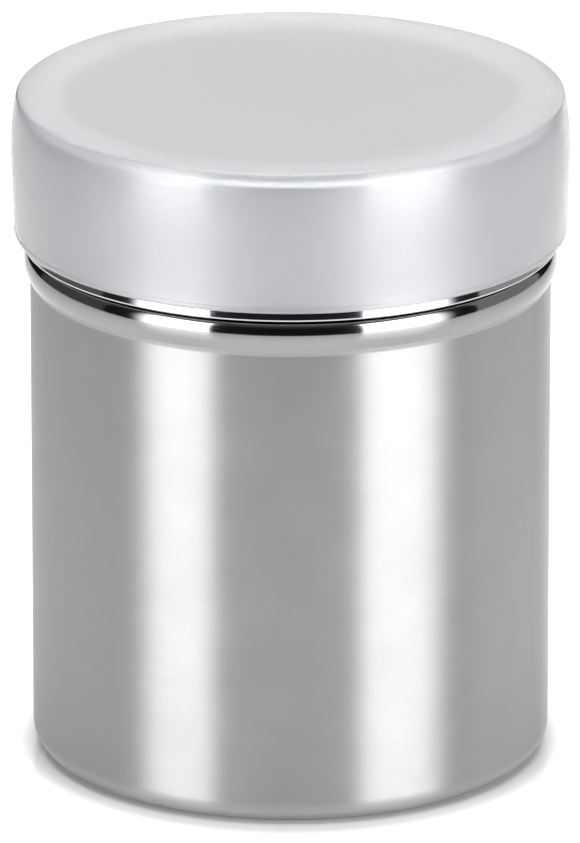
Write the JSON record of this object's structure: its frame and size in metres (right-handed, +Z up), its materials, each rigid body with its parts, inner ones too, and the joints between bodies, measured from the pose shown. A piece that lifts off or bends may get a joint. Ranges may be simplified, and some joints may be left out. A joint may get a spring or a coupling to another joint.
{
  "type": "powder shaker",
  "caption": "Round steel powder and spice shaker with a screw-on sieve lid and a push-on frosted plastic dust cap.",
  "frame": {"origin": "centre of the canister's flat base, on the surface that it stands on", "axes": "+Z up along the axis about which every piece is turned; X and Y are alike"},
  "size_m": [0.0728, 0.0728, 0.0891],
  "materials": {
    "satin_stainless": "satin, brushed round the wall, with a polished bead",
    "polished_stainless": "polished",
    "sieve_wire": "drawn wire, woven",
    "pressed_stainless": "bright rolled sheet",
    "frosted_plastic": "frosted, moulded, slightly see-through"
  },
  "bodies": {
    "canister": {"canister": "satin_stainless"},
    "retaining_ring": {"mesh_retaining_ring": "pressed_stainless"},
    "lid": {"lid_shell": "polished_stainless", "mesh_screen": "sieve_wire"},
    "cap": {"dust_cap": "frosted_plastic"}
  },
  "joints": [
    {"name": "lid_rise", "type": "slide", "parent": "canister", "child": "retaining_ring", "axis": [0, 0, 1], "range_m": [0, 0.01401]},
    {"name": "lid_turn", "type": "hinge", "parent": "retaining_ring", "child": "lid", "pos_m": [0, 0, 0.0691], "axis": [0, 0, 1], "range_deg": [0, 1260]},
    {"name": "cap_pull", "type": "slide", "parent": "lid", "child": "cap", "axis": [0, 0, 1], "range_m": [0, 0.03]}
  ],
  "couplings": [
    {"joint": "lid_rise", "follows": "lid_turn", "m_per_rad": 0.00063662}
  ]
}
